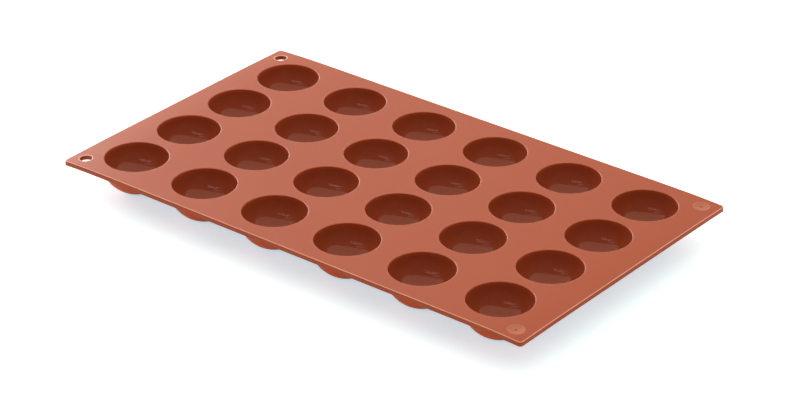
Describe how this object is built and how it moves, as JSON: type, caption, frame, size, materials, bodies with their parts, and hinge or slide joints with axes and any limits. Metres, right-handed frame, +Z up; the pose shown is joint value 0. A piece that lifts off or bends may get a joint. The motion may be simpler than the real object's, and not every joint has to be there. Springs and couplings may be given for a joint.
{
  "type": "silicone hemisphere mould",
  "caption": "Flexible one-piece baking mould: a thin flat sheet with a grid of hemispherical cavities hanging below it, and two hanging holes at one short side.",
  "frame": {"origin": "midway along both sides of the sheet, in the plane that the bowls stand on", "axes": "+X along the long side from the hanging holes to the gate dishes, +Z up out of the cavities"},
  "size_m": [0.3, 0.175, 0.02],
  "materials": {
    "terracotta_silicone": "satin moulded silicone rubber"
  },
  "bodies": {
    "root": {"mould": "terracotta_silicone"}
  },
  "joints": []
}
